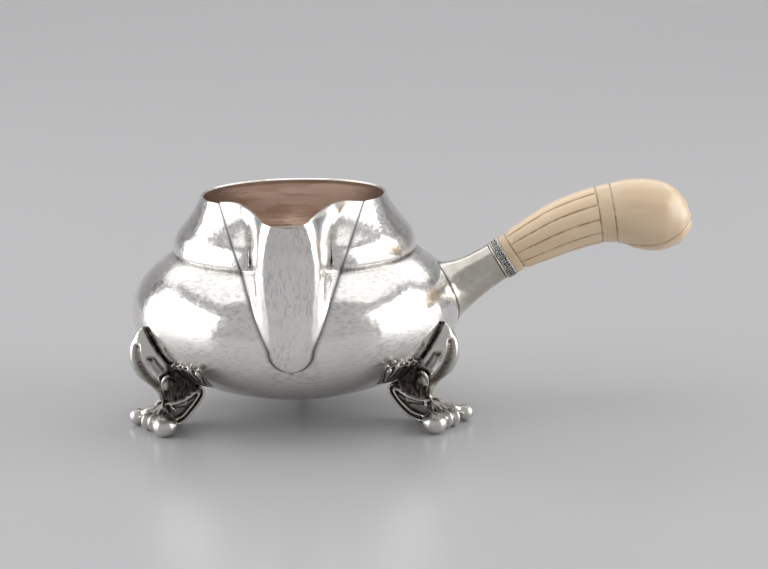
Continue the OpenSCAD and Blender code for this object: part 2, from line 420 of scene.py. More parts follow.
def seam_distance(co):
    """Distance to the spout's seam, as seen from the front; points behind are far away."""
    gap = np.abs(np.abs(co[:, 0]) - seam_half_width(co[:, 2]))
    below = np.clip(SEAM_FOOT_Z - co[:, 2], 0, None)
    return np.where(co[:, 1] < 0, np.hypot(gap * 0.93, below), 99)


def face_outwards(piece, centre):
    """Turns the faces of an open sheet to look away from a centre."""
    away = points_of(piece) - np.array(centre)
    if (away * normals_of(piece)).sum() < 0:
        work_on(piece)
        edit_all()
        bpy.ops.mesh.flip_normals()
        done_editing()


def give_thickness(piece, thickness):
    """Makes a solid sheet of an open surface, towards its back."""
    sheet = piece.modifiers.new("sheet", "SOLIDIFY")
    sheet.thickness = thickness * MM
    sheet.offset = -1
    sheet.use_even_offset = False
    sheet.use_rim = True
    apply_all(piece)


def finish_wall(piece):
    """Gives a wall of the vessel its thickness, notes which side is the inside and where
    that is darkest, and keeps its cut edges crisp."""
    outer_count = len(piece.data.vertices)
    give_thickness(piece, SHEET)
    note(piece, "inside", np.arange(len(piece.data.vertices)) >= outer_count)
    co = points_of(piece)
    ends = ease(np.abs(co[:, 0]), 17, 31) * ease(co[:, 2], 45, 60)
    note(piece, "shade", np.maximum(ends, 0.8 * ease(co[:, 2], RIM_Z - 2.2, RIM_Z - 1.2)))
    bpy.ops.object.shade_smooth_by_angle(angle=math.radians(40))


def make_lower_bowl():
    dice = random.Random(11)
    top = math.degrees(math.asin((CREASE_Z - BELLY_Z) / BELLY_RISE))
    lower = [(BELLY_R * math.cos(a), BELLY_Z + BELLY_DROP * math.sin(a))
             for a in np.radians(np.linspace(-90, 0, 70, endpoint=False))]
    upper = [(BELLY_R * math.cos(a), BELLY_Z + BELLY_RISE * math.sin(a))
             for a in np.radians(np.linspace(0, top, 38))]
    outline = np.array(lower + upper)
    outline[:, 0] -= np.where(outline[:, 1] > BELLY_Z, crease_groove(outline[:, 1]), 0)
    outline[0, 0] = 0
    piece = lathe("lower_bowl_raised", outline.tolist(), COLUMNS, SLIT_SWEEP)
    open_for_spout(piece)
    tidy_mesh(piece, merge=0.1)
    face_outwards(piece, (0, 0, BELLY_Z))
    co = points_of(piece)
    shake(piece, 17, 0.05, dice)
    low_down = 1 - 0.55 * ease(co[:, 2], 30, 42)
    blows = hammer_courses(outline, 1.9, 2.9, dice)
    planish(piece, blows, 0.055, (1, 1, 1.25), low_down * ease(seam_distance(co), 0, 2))
    co = points_of(piece)
    # Masks for painted shade: a dark line along the spout's seam, painted shadow where the
    # tongue's lap stands proud, and darkening in the crease groove
    note(piece, "seam", np.exp(-(seam_distance(co) / 0.7) ** 2))
    note(piece, "crease", np.exp(-((co[:, 2] - CREASE_Z) / 0.8) ** 2))
    finish_wall(piece)
    return piece


def make_neck_collar():
    dice = random.Random(12)
    outline = smooth_line(COLLAR[::6], 4)
    outline[:, 0] -= crease_groove(outline[:, 1])
    piece = lathe("neck_collar_raised", outline.tolist(), COLUMNS, SLIT_SWEEP)
    open_for_spout(piece)
    tidy_mesh(piece, merge=0.02)
    face_outwards(piece, (0, 0, 62))
    co = points_of(piece)
    shake(piece, 14, 0.04, dice)
    blows = hammer_courses(outline, 2.1, 2.6, dice)
    planish(piece, blows, 0.03, (1, 1, 1), ease(seam_distance(co), 0, 2))
    co = points_of(piece)
    turn = np.arctan2(co[:, 0], -co[:, 1])
    # a row of punch marks just above the crease, and a rim that lifts towards the spout
    punch = 0.5 + 0.5 * np.cos(turn * 230 + 1.5 * np.sin(turn * 31))
    dent = 0.22 * punch * np.exp(-((co[:, 2] - CREASE_Z - 0.9) / 0.5) ** 2)
    rise = 0.9 * np.exp(-((seam_distance(co) / 6) ** 2)) * ease(co[:, 2], RIM_Z - 8, RIM_Z)
    co = co - normals_of(piece) * dent[:, None]
    co[:, 2] += rise * 0.15
    put_points(piece, co)
    # Masks for painted shade: a dark line along the spout's seam, where it lies flush also a
    # dark joint line, and darkening in the crease groove
    note(piece, "seam", np.exp(-(seam_distance(co) / 0.7) ** 2))
    note(piece, "crease", np.exp(-((co[:, 2] - CREASE_Z) / 0.9) ** 2))
    finish_wall(piece)
    return piece


# ---- spout

# Height, radius of the front line, half width and squareness of the pouring channel
CHANNEL = smooth_line([(24, 52.2, 6.6, 3), (28, 54.6, 7.7, 3.5), (32, 56.2, 8.4, 4),
                       (38, 57.3, 8.8, 6.5), (44, 57.8, 10, 8), (50, 58, 11.3, 9.5),
                       (57, 58.1, 12.3, 10.5), (64, 58, 12.4, 9), (69, 57.6, 12.3, 6.5),
                       (73, 57, 12.5, 3.8)])
LIP = smooth_line([(-24.4, 73.0), (-21, 73.7), (-18, 73.8), (-15.5, 73.2), (-12.5, 73.0),
                   (-9.8, 72.6), (-6.5, 71.8), (-2.8, 71.2), (0, 71.0), (2.6, 71.2),
                   (5.2, 71.9), (7.9, 73.0), (10.5, 74.0), (13, 74.3), (15.2, 74.1),
                   (18.4, 73.8), (22.3, 73.0), (24.4, 72.7)], 6)


def lip_height(x):
    return np.interp(x, LIP[:, 0], LIP[:, 1])


# Where the valley beside the channel runs, the radius of the cheek's roll into it, how deep
# it drops, and how far the channel's root lies behind the collar
VALLEY_X = 12.9
VALLEY_ROLL = 1.9
VALLEY_DROP = 9
CHANNEL_SUNK = 6.5
SOFT_JOIN = 0.3


def spout_face(x, z):
    """How far the spout's outer face stands in front of the axis at each point."""
    across = np.abs(x)
    front, wide, square = (np.interp(z, CHANNEL[:, 0], CHANNEL[:, k]) for k in (1, 2, 3))
    wall = vessel_radius(z) - crease_groove(z) * ease(across, 13.5, 15.5)
    cheek = np.sqrt(np.clip(wall ** 2 - x ** 2, 0, None))
    near = np.clip(VALLEY_X + VALLEY_ROLL - across, 0, VALLEY_ROLL)
    over_crease = ease(z, CREASE_Z - 0.2, CREASE_Z + 1.5) * (1 - ease(z, 66, 71.5))
    cheek = cheek - over_crease * (VALLEY_ROLL - np.sqrt(VALLEY_ROLL ** 2 - near ** 2))
    cheek = cheek - over_crease * VALLEY_DROP * np.clip(VALLEY_X - across, 0, 1)
    sunk = CHANNEL_SUNK * ease(z, CREASE_Z, CREASE_Z + 3) * (1 - ease(z, 63, 71.5))
    root = vessel_radius(z) - sunk
    back = np.sqrt(np.clip(root ** 2 - x ** 2, 0, None))
    channel = back + (front - root) * np.exp(-(across / wide) ** square)
    both = np.hypot(channel - cheek, SOFT_JOIN)
    return 0.5 * (channel + cheek + both) - 0.5 * SOFT_JOIN


# How far the tongue laps over the edge of its opening, how far it stays short of the lap's
# end, and the share of the tongue's rows that shape its round foot
TONGUE_LAP = 0.35
TONGUE_SHORT = 0.04
IN_ARC = 0.14


def tongue_half_width(z):
    return np.clip(seam_half_width(z, TONGUE_LAP) - TONGUE_SHORT, 0, None)


def make_spout():
    dice = random.Random(13)
    piece, u, v = flat_grid("spout_raised", 230, 170)
    low_r = SEAM_ROUND_R + TONGUE_LAP
    arc_z = SEAM_ROUND_Z - low_r * np.cos(np.minimum(v / IN_ARC, 1) * math.pi / 2)
    for_height = np.where(v < IN_ARC, arc_z,
                          SEAM_ROUND_Z + (RIM_Z - SEAM_ROUND_Z) * (v - IN_ARC) / (1 - IN_ARC))
    across = u * tongue_half_width(for_height)
    top = lip_height(across)
    z = for_height + (top - RIM_Z) * ease(for_height, 58, RIM_Z)
    x = u * tongue_half_width(z)
    x = np.where(z > RIM_Z, across, x)
    put_points(piece, np.stack([x, -spout_face(x, np.minimum(z, RIM_Z)), z], 1))
    tidy_mesh(piece, merge=0.02)
    face_outwards(piece, (0, 0, 45))
    co = points_of(piece)
    shake(piece, 12, 0.035, dice)
    blows = []
    for zz in np.arange(SEAM_FOOT_Z, RIM_Z + 2, 2.4):
        for xx in np.arange(-24, 24.1, 1.0):
            bx, bz = xx + dice.uniform(-0.4, 0.4), zz + dice.uniform(-1.2, 1.2)
            blows.append((bx, -float(spout_face(np.array(bx), np.array(min(bz, RIM_Z)))), bz))
    on_front = 1 - ease(np.abs(co[:, 0]), 9.5, 12.5) * 0.85
    away = ease(seam_distance(co), 0, 1.5)
    planish(piece, np.array(blows), 0.016, (1, 1, 0.42), on_front * away)
    co = points_of(piece)
    # Masks for painted shade: a dark line along the seam, painted shadow of the tongue's lap,
    # and a dark crease painted up the valley beside the channel
    note(piece, "seam", np.exp(-(seam_distance(co) / 0.6) ** 2))
    painted_valley_shade = np.exp(-((np.abs(co[:, 0]) - 13.0) / 0.35) ** 2) * ease(co[:, 2], 53.5, 56)
    painted_valley_shade = 0.7 * painted_valley_shade * (1 - ease(co[:, 2], 60, 66))
    note(piece, "crease", painted_valley_shade)
    note(piece, "upright", np.ones(len(co)))
    finish_wall(piece)
    return piece


# ---- socket and ferrule

SOCKET_END = 18.1
BEAD_END = 19.0
BAND_END = 21.9
TENON_R = 5.05

socket_place = (Matrix.Translation(SOCKET_FOOT * MM)
                @ Matrix.Rotation(math.pi / 2 - SOCKET_TILT, 4, "Y"))


def onto_socket_axis(piece):
    piece.data.transform(socket_place)
    piece.data.update()


def bowl_gap(p):
    """How far points lie outside the belly: below zero is inside it."""
    r, z = np.hypot(p[:, 0], p[:, 1]), p[:, 2]
    half = belly_half(z)
    return (np.sqrt((r / BELLY_R) ** 2 + ((z - BELLY_Z) / half) ** 2) - 1) * half


FLARE_R = 10.3
BAND_R = 6.75
PUNCHES = 56


def make_handle_socket():
    """The trumpet-shaped socket, its foot fitted to the curve of the belly."""
    dice = random.Random(21)
    flare = smooth_line([(FLARE_R, 0), (9.3, 1.3), (8.2, 4), (7.45, 7), (6.95, 10),
                         (6.65, 13), (6.5, 15.5), (6.5, SOCKET_END - 0.2)], 6)
    inside = [(6.3, SOCKET_END), (TENON_R, SOCKET_END), (TENON_R, 9), (6.3, 4.5), (8.6, 0.8),
              (9.9, -0.15)]
    outline = [(float(r), float(s)) for r, s in flare] + inside
    piece = lathe("handle_socket_raised", outline + outline[:1], 140)
    tidy_mesh(piece, merge=0.003)
    co = points_of(piece)
    swell = soft_waves(co, 9, 0.05, dice) * (np.hypot(co[:, 0], co[:, 1]) > 5.5)
    put_points(piece, co + normals_of(piece) * swell[:, None])
    onto_socket_axis(piece)
    out = np.array([math.cos(SOCKET_TILT), 0, math.sin(SOCKET_TILT)])
    co = points_of(piece)
    along = (co - np.array(SOCKET_FOOT)) @ out
    side = co - np.array(SOCKET_FOOT) - along[:, None] * out
    reach = np.linalg.norm(side, axis=1)
    rim = np.array(SOCKET_FOOT) + side * (FLARE_R / np.maximum(reach, 1))[:, None]
    lift = np.zeros(len(co))
    for _ in range(12):
        lift -= bowl_gap(rim + lift[:, None] * out) - 0.06
    co = co + out * (lift * (1 - ease(along, 0, 9)))[:, None]
    short = np.minimum(bowl_gap(co) - 0.05, 0)
    put_points(piece, co - out * short[:, None])
    note(piece, "foot_edge", np.exp(-(np.clip(along, 0, None) / 0.5) ** 2))
    bpy.ops.object.shade_smooth_by_angle(angle=math.radians(35))
    return piece


def make_socket_bead():
    mid, half = (SOCKET_END + BEAD_END) / 2, (BEAD_END - SOCKET_END) / 2 - 0.05
    rounding = [(6.35 + 0.55 * math.cos(a), mid + half * math.sin(a))
                for a in np.radians(np.linspace(-90, 90, 15))]
    outline = [(TENON_R, mid - half)] + rounding + [(TENON_R, mid + half)]
    piece = lathe("socket_bead_turned", outline + outline[:1], 120)
    tidy_mesh(piece, merge=0.003)
    onto_socket_axis(piece)
    return piece


def make_ferrule_band():
    """The darkened band, matted all over with small ring punches."""
    dice = random.Random(22)
    start, end = BEAD_END + 0.06, BAND_END
    rows = [(6.55, start)] + [(BAND_R, s) for s in np.linspace(start + 0.15, end - 0.15, 16)]
    outline = [(TENON_R, start)] + rows + [(6.55, end), (TENON_R, end)]
    piece = lathe("ferrule_band_matted", outline + outline[:1], 260)
    tidy_mesh(piece, merge=0.003)
    co = points_of(piece)
    blows = []
    for s in np.arange(start, end, 0.75):
        for i in range(PUNCHES):
            a = 2 * math.pi * (i + dice.random()) / PUNCHES
            blows.append((BAND_R * math.sin(a), -BAND_R * math.cos(a),
                          s + dice.uniform(-0.25, 0.25)))
    matted = (np.hypot(co[:, 0], co[:, 1]) > BAND_R - 0.1).astype(float)
    planish(piece, np.array(blows), -0.34, (1, 1, 1), matted)
    note_hollows(piece, 4, 0.06)
    onto_socket_axis(piece)
    return piece


# ---- feet
# A foot is made with +X pointing away from the bowl, +Y towards its largest toe and +Z up.

# Height, outer radius and half width, from the point of the knee down to the ankle
LEG = smooth_line([(34.4, 55.2, 0.3), (33.4, 56.8, 1.0), (31.5, 58.2, 2.5), (28.5, 59.8, 4.4),
                   (25, 60.3, 5.4), (22, 59.8, 5.7), (18.5, 58, 5.5), (16.5, 56.1, 4.8),
                   (14.5, 53.7, 4.0),
                   (12, 51.5, 3.1), (9.9, 50.4, 2.5), (8.2, 50.1, 2.2), (6.6, 50.6, 2.0)], 14)
# Angle round the knee, half width of the flute in degrees, height where it begins
FLUTES = ((28, 19, 30.5), (63, 15, 26.5))
FLUTE_DEPTH = 0.95
# The toes' soles stand this far off the table
SOLE_Z = 0.02
# The castings were set by hand, so their toes don't reach out quite alike
TOE_SHIFT = {"foot_front_left": -1.7, "foot_front_right": 1.7, "foot_rear": 0.0}


def spread(co, grow):
    """Moves each point away from the vessel's axis by its own factor."""
    return co * np.stack([grow, grow, np.ones_like(grow)], -1)


def clear_of_bowl(co, gap):
    """Pushes points out to stand a given gap off the belly."""
    r = np.hypot(co[..., 0], co[..., 1])
    least = belly_radius(np.maximum(co[..., 2], BOWL_FLOOR_Z)) + gap
    return spread(co, np.maximum(least / np.maximum(r, 1), 1))


def bowl_gap_of(co):
    return np.hypot(co[..., 0], co[..., 1]) - belly_radius(np.maximum(co[..., 2], BOWL_FLOOR_Z))


def make_leg():
    """The fluted knee and shin, down to the ankle."""
    around = np.radians(np.linspace(-180, 180, 144, endpoint=False))
    z, reach, wide = (LEG[:, k][:, None] for k in range(3))
    root = np.maximum(belly_radius(z), 41.5) + 0.15
    root = np.minimum(root, reach - 0.5)
    front = np.cos(around) > 0
    x = np.where(front, root + (reach - root) * np.abs(np.cos(around)) ** 0.9, root)
    y = wide * np.sign(np.sin(around)) * np.where(front, np.abs(np.sin(around)) ** 0.85,
                                                  np.abs(np.sin(around)))
    angle = np.abs(np.degrees(around))
    carve = np.zeros((len(LEG), len(around)))
    for middle, half, top in FLUTES:
        shape = np.clip(1 - ((angle - middle) / half) ** 2, 0, 1)
        run = (1 - ease(z, top - 2.5, top)) * ease(z, 13, 19)
        carve = np.maximum(carve, shape * run)
    deep = FLUTE_DEPTH * carve
    x = x - deep * np.cos(around) * front
    y = y - deep * np.sin(around) * front
    sections = np.stack([x, y, np.broadcast_to(z, x.shape)], -1)
    return loft("leg", clear_of_bowl(sections, 0.12)[::-1])


def cuff_edge(r):
    """Height of the cuff's lower edge, from the ankle back under the bowl."""
    return np.interp(r, [37.2, 39.5, 43, 46.5, 50, 52], [11.4, 10.1, 8.6, 7.8, 8.0, 8.6])


# Middle, reach and half width of the cuff's oval at its lower edge
CUFF_MIDDLE = 43.95
CUFF_REACH = 6.65
CUFF_HALF_W = 2.4


def cuff_half_width(x):
    around = np.arccos(np.clip((x - CUFF_MIDDLE) / CUFF_REACH, -1, 1))
    return CUFF_HALF_W * np.sin(around) ** 0.8


def make_cuff():
    """The skirt behind the leg that flares up into the leaf mount."""
    around = np.radians(np.linspace(0, 360, 120, endpoint=False))
    sections = []
    for v in np.linspace(0, 1, 50):
        half = CUFF_HALF_W + 9.5 * v ** 1.9
        back, ahead = 37.3 + 4 * v, 50.4 - 0.9 * v
        x = (back + ahead) / 2 + (ahead - back) / 2 * np.cos(around)
        y = half * np.sign(np.sin(around)) * np.abs(np.sin(around)) ** 0.8
        low = cuff_edge(x)
        sections.append(np.stack([x, y, low + (22.8 - low) * v], -1))
    sections = np.array(sections)
    gap = 1.3 - 1.1 * ease(sections[..., 2], 20, 23)
    pushed = clear_of_bowl(sections, 0)
    r = np.hypot(pushed[..., 0], pushed[..., 1])
    grow = 1 + gap / r * (bowl_gap_of(pushed) < 0.6)
    return loft("cuff", spread(pushed, grow))


HEEL = smooth_line([(44.5, 12.3), (40, 12.2), (37.3, 12.1), (35.8, 10.9), (35.7, 9.2),
                    (36.8, 7.4), (39.5, 4.5), (42.9, 1.9), (46.5, 0.9), (50, 0.9)], 8)


WIRE_R = 0.42


def make_heel():
    """The sole plate: a thin web with a raised rim and a second wire inside it."""
    rim = tube("heel_rim", [(x, 0, z) for x, z in HEEL], 0.72, 14)
    co = points_of(rim)
    co[:, 1] *= 3.1
    put_points(rim, co)
    parts = [rim]
    ahead = np.gradient(HEEL, axis=0)
    ahead /= np.linalg.norm(ahead, axis=1)[:, None]
    inwards = np.stack([-ahead[:, 1], ahead[:, 0]], 1)
    inner = HEEL + 1.75 * inwards
    for side in (-1, 1):
        parts.append(tube("heel_wire", [(x, 1.75 * side, z) for x, z in inner], WIRE_R, 10))
    web = np.array([(37.0, 9.9), (37.2, 8.4), (39.8, 5.6), (43.6, 2.4), (50, 1.4), (54, 2.5),
                    (53.4, 4.6), (50.9, 6.2), (47.5, 6.3), (42, 7.4)])
    sections = [np.stack([web[:, 0], np.full(10, y), web[:, 1]], 1) for y in (-1.25, 1.25)]
    parts.append(loft("heel_web", sections))
    return parts


def make_toes():
    """The three toes, and the petals folded round the ankle."""
    parts = []
    # front toe: one large egg, drawn back into the sole
    parts.append(ball("toe_front", (55.3, 10.6, 3.4), (4.1, 3.9, 3.55), 40, 26))
    parts.append(tube("toe_front_root", [(49.8, 1.2, 4.2), (51.2, 4.2, 3.4), (53.6, 8.4, 3.3)],
                      (1.3, 2.0, 3.1), 20))
    parts.append(tube("toe_front_sole", [(45.6, 0.2, 0.9), (48.6, 3.4, 1.4), (52.4, 8, 2.4)],
                      (0.7, 1.3, 2.4), 20))
    # middle toe: two narrow ridges side by side
    for y, ahead in ((3.7, 57.7), (0.6, 58.6)):
        parts.append(ball("toe_middle", (ahead - 2.2, y, 3.0), (2.9, 1.5, 3.1), 32, 22))
        parts.append(tube("toe_middle_root", [(50.4, y * 0.3, 7.2), (52.4, y * 0.6, 6.0),
                                              (54.4, y, 4.9), (56.0, y, 3.8)],
                          (1.0, 1.15, 1.2, 1.3), 16))
    # outer toe: a round ball on a narrow neck with a knuckle
    parts.append(ball("toe_outer", (57.0, -7.4, 2.85), (2.75, 2.75, 2.75), 36, 24))
    parts.append(tube("toe_outer_root", [(50.6, -0.8, 6.4), (52.6, -2.4, 5.8), (54.3, -4.2, 4.8),
                                         (55.9, -5.9, 3.4)], (1.1, 1.35, 1.75, 1.5), 18))
    parts.append(ball("knuckle", (54.5, -4.5, 5.0), (1.3, 1.9, 1.3), 24, 16))
    # petals folded round the ankle
    for side in (-1, 1):
        parts.append(tube("petal", [(50.2, 1.2 * side, 8.6), (51.4, 2.5 * side, 7.2),
                                    (51.0, 3.1 * side, 5.2), (49.2, 2.6 * side, 3.4)],
                          (0.5, 0.8, 0.85, 0.4), 14))
        parts.append(tube("petal", [(48.6, 1.4 * side, 8.2), (48.4, 2.3 * side, 6.6),
                                    (47.4, 2.2 * side, 5.0)], (0.35, 0.6, 0.3), 12))
    return parts


def make_curls():
    """The hook on each side of the leg, and the wire round the cuff's lower edge."""
    parts = []
    for side in (-1, 1):
        path = smooth_line([(49.2, 2.0, 9.5), (49.9, 2.6, 12), (51.0, 3.9, 14.2),
                            (51.5, 5.1, 16.2), (51.0, 5.9, 17.9), (49.8, 6.3, 18.5),
                            (48.8, 6.5, 17.9)], 5)
        thick = np.interp(np.linspace(0, 1, len(path)), (0, 0.5, 1), (0.35, 0.62, 0.5))
        parts.append(tube("hook", path * (1, side, 1), thick, 12))
        parts.append(ball("ear", (49.3, 4.6 * side, 15.6), (2.1, 1.7, 2.5), 28, 20))
        x = np.linspace(50.3, 37.6, 26)
        edge = np.stack([x, cuff_half_width(x) * side, cuff_edge(x)], 1)
        parts.append(tube("cuff_wire", edge, WIRE_R, 12))
    return parts


def make_foot_casting():
    """One foot, its hollows deepened, with the places noted that its finish needs."""
    parts = [make_leg(), make_cuff()] + make_heel() + make_toes() + make_curls()
    casting = join(parts, "foot")
    cast_together(casting, 0.26, 3)
    co = points_of(casting)
    note_hollows(casting, 22, 0.22)
    hollow = np.empty(len(co), np.float32)
    casting.data.attributes["hollow"].data.foreach_get("value", hollow)
    bite = np.clip(hollow - 0.62, 0, 0.4)
    co = co - normals_of(casting) * (0.5 * bite)[:, None]
    co[:, 2] = np.where(co[:, 2] < 0.12, SOLE_Z, co[:, 2])
    put_points(casting, co)
    x, y, z = co.T
    behind = 1 - ease(x, 49.6, 51.4)
    cuff = behind * ease(z - cuff_edge(x), 0.4, 1.0)
    instep = ease(z, 4.4, 5.6) * (1 - ease(z, 8, 9.5)) * ease(x, 49, 51)
    # painted shadow: points close to the belly are darkened as the gap where the foot meets the
    # bowl, and this goes into the cuff's dark mark
    painted_gap_shadow = 1 - ease(bowl_gap_of(co), 1.1, 1.7)
    note(casting, "cuff", np.maximum(cuff, np.maximum(painted_gap_shadow, 0.7 * instep)))
    wide = np.interp(z, LEG[::-1, 0], LEG[::-1, 2])
    round_knee = np.degrees(np.arcsin(np.clip(np.abs(y) / wide, 0, 1) ** 1.18))
    fluted = np.zeros(len(co))
    for middle, half, top in FLUTES:
        fluted = np.maximum(fluted, np.exp(-((round_knee - middle) / (0.78 * half)) ** 4)
                            * (1 - ease(z, top - 1.8, top - 0.6)))
    fluted = fluted * ease(z, 12, 15) * ease(bowl_gap_of(co), 1.5, 2.2)
    note(casting, "knee", fluted * (x > 50.8))
    web = (np.abs(y) < 1.5) & (z < cuff_edge(x) + 0.2) & (x < 50)
    web |= (np.abs(y) < cuff_half_width(x) - 0.4) & (x < 49.6) & (np.abs(z - cuff_edge(x)) < 0.5)
    note(casting, "web", averaged(web.astype(float), edges_of(casting), 2))
    return casting


def make_feet():
    """Copies of the casting, each turned to its place; the front right one is mirrored."""
    casting = make_foot_casting()
    feet = []
    for name, turn in FOOT_TURNS.items():
        foot = copy_of(casting, name + "_cast")
        side = -1 if name == "foot_front_right" else 1
        a = math.radians(turn)
        place = Matrix(((math.sin(a), side * math.cos(a), 0, 0),
                        (-math.cos(a), side * math.sin(a), 0, 0), (0, 0, 1, 0), (0, 0, 0, 1)))
        co = points_of(foot)
        co[:, 0] += TOE_SHIFT[name] * (1 - ease(co[:, 2], 5, 10)) * ease(co[:, 0], 40, 50)
        put_points(foot, co)
        foot.data.transform(place)
        if side < 0:
            foot.data.flip_normals()
        foot.data.update()
        feet.append(foot)
    bpy.data.objects.remove(casting)
    return feet


# ---- leaf mounts

# Angle from the middle of the foot, lowest and highest point of the leaf
LEAF = ((0, 13.2, 21.5), (8, 13.2, 22.0), (13, 13.5, 22.8), (17, 14.3, 23.2),
        (19.5, 14.0, 23.0), (22, 16.6, 22.4), (23.8, 19.4, 21.4))
# Angle and height of each rib's top, and angle, height and radius of each bead
LEAF_RIBS = ((23.2, 21.5), (20.5, 22.7))
LEAF_BEADS = ((17.6, 23.1, 0.5), (14.6, 22.9, 0.42), (10.2, 22.4, 0.4))


def on_belly(a, z, gap):
    """Points a given gap off the belly, at an angle from the foot's middle and a height."""
    r = belly_radius(z) + gap
    a = np.radians(a)
    return np.stack([r * np.cos(a), r * np.sin(a), z], -1)


def make_leaf_mounts():
    """The applied leaf with its ribs and beads, made once and copied to each foot."""
    leaf = np.array(LEAF)
    plate, u, v = flat_grid("leaf_plate", 220, 56)
    a = u * leaf[-1, 0]
    low, high = (np.interp(np.abs(a), leaf[:, 0], leaf[:, k]) for k in (1, 2))
    z = low + (high - low) * v
    edge = np.minimum(np.minimum(v, 1 - v) * (high - low), (leaf[-1, 0] - np.abs(a)) * 0.9)
    veins = 0.16 * np.cos(np.abs(a) * 1.45 - z * 0.9) * ease(np.abs(a), 6, 10)
    put_points(plate, on_belly(a, z, 0.35 + 0.75 * ease(edge, 0, 1.2) + veins))
    tidy_mesh(plate, merge=FINE_MERGE)
    face_outwards(plate, (30, 0, 34))
    give_thickness(plate, 0.9)
    put_points(plate, clear_of_bowl(points_of(plate), 0.06))
    parts = [plate]
    for side in (-1, 1):
        for top, z in LEAF_RIBS:
            t = np.linspace(0, 1, 14)
            path = on_belly(side * (top + (19.6 - top) * t ** 1.8), z - (z - 16.6) * t, 1.2)
            parts.append(tube("rib", path, 0.85 - 0.5 * t, 12))
            parts.append(ball("bead", on_belly(side * top, z + 0.1, 1.2), 0.7, 20, 14))
        for top, z, size in LEAF_BEADS:
            parts.append(ball("bead", on_belly(side * top, z, 1.0), size, 20, 14))
    mount = join(parts, "leaf")
    cast_together(mount, 0.24, 2)
    put_points(mount, clear_of_bowl(points_of(mount), 0.05))
    note_hollows(mount, 14, 0.2)
    mounts = []
    for foot_name, turn in FOOT_TURNS.items():
        copy = copy_of(mount, foot_name.replace("foot", "leaf_mount") + "_cast")
        copy.data.transform(Matrix.Rotation(math.radians(turn - 90), 4, "Z"))
        copy.data.update()
        mounts.append(copy)
    bpy.data.objects.remove(mount)
    return mounts


# ---- ivory handle

out_x, out_z = math.cos(SOCKET_TILT), math.sin(SOCKET_TILT)


def axis_point(s):
    return SOCKET_FOOT.x + s * out_x, SOCKET_FOOT.z + s * out_z


# Centre (x, z) and radius along the grip, from its foot to the tip of the knob
GRIP = smooth_line([(*axis_point(BAND_END + 0.05), 6.4), (*axis_point(BAND_END + 0.35), 6.65),
                    (*axis_point(24.2), 6.75), (*axis_point(24.7), 6.55),
                    (*axis_point(27), 7.1), (80, 55.7, 7.9), (87, 59.1, 8.7), (94, 61.7, 9.1),
                    (100.3, 63.5, 9.4), (102.6, 63.9, 9.6), (105.3, 64.2, 9.95),
                    (110.5, 64.4, 10.9), (115.7, 63.7, 11.6), (121.3, 62.6, 11.2),
                    (126, 62, 9.1), (128.5, 61.9, 6.9), (130, 61.9, 4.6),
                    (130.9, 62, 2.0), (131.15, 62, 0.4)], 22)
# The knob's last sections all face the way of this one
LAST_TURNED = 13
REEDS = 12
REEDS_END = 100.3
KNOB_STARTS = 105.2
CUT_LEAN = 0.13
# Lower edge of the petal that is carved round the knob
PETAL_LINE = smooth_line([(104.8, 54.9), (110, 54.2), (115, 54.0), (121, 55.0), (126, 57.9),
                          (129, 60.6), (132, 63.5)], 6)


def make_ivory_handle():
    """The grip: twelve reeds, two cut rings and a smooth knob with a petal cut round it."""
    spine = GRIP[:, :2]
    ahead = np.gradient(spine, axis=0)
    ahead[1 - LAST_TURNED:] = ahead[-LAST_TURNED]
    ahead = averaged(ahead, np.stack([np.arange(len(ahead) - 1), np.arange(1, len(ahead))], 1),
                     30)
    ahead /= np.linalg.norm(ahead, axis=1)[:, None]
    turn = np.linspace(0, 2 * math.pi, 240, endpoint=False)
    spine_x, spine_z, r = (GRIP[:, k][:, None] for k in range(3))
    ahead_x, ahead_z = ahead[:, 0][:, None], ahead[:, 1][:, None]
    start = axis_point(24.9)[0]
    lean = spine_z + r * np.cos(turn) * ahead_x - 63.8
    cut_at = (spine_x - r * np.cos(turn) * ahead_z) + CUT_LEAN * lean
    reeded = ease(spine_x, start, start + 0.8) * (1 - ease(cut_at, 99.7, 100.2))
    phase = np.mod(turn * REEDS / (2 * math.pi), 1) - 0.5
    crown = np.sqrt(np.clip(1 - (2 * phase) ** 2 * 0.86, 0, 1))
    line = np.exp(-((np.abs(phase) - 0.5) / 0.055) ** 2)
    rings = (np.exp(-((cut_at - REEDS_END) / 0.26) ** 2)
             + np.exp(-((cut_at - KNOB_STARTS) / 0.26) ** 2)
             + 0.8 * np.exp(-((spine_x - start + 0.1) / 0.2) ** 2))
    rr = r * (1 + reeded * (0.035 * crown - 0.03)) - reeded * line * 0.25 - 0.25 * rings
    px = spine_x - rr * np.cos(turn) * ahead_z
    pz = spine_z + rr * np.cos(turn) * ahead_x
    py = rr * np.sin(turn)
    edge = np.interp(px, PETAL_LINE[:, 0], PETAL_LINE[:, 1]) - pz
    on_knob = ease(px, 105.4, 106.4)
    cut = np.exp(-(edge / 0.22) ** 2) * on_knob
    swell = 0.25 * ease(edge, 0, 1.2) * on_knob
    push = (swell - 0.3 * cut) * np.clip(rr / 4, 0, 1)
    px = px - push * np.cos(turn) * ahead_z
    pz = pz + push * np.cos(turn) * ahead_x
    py = py * (1 + push / np.maximum(rr, 1))
    sections = np.stack([px, py, pz], -1)
    piece = loft("ivory_handle_carved", sections)
    tree = tree_of(sections.reshape(-1, 3))
    stain = np.maximum(line * reeded, np.maximum(cut, np.clip(rings, 0, 1))).ravel()
    which = [tree.find(p)[1] for p in points_of(piece)]
    note(piece, "stain", stain[which])
    note(piece, "reeded", (reeded * np.ones_like(line)).ravel()[which])
    return piece


# ---- finishes

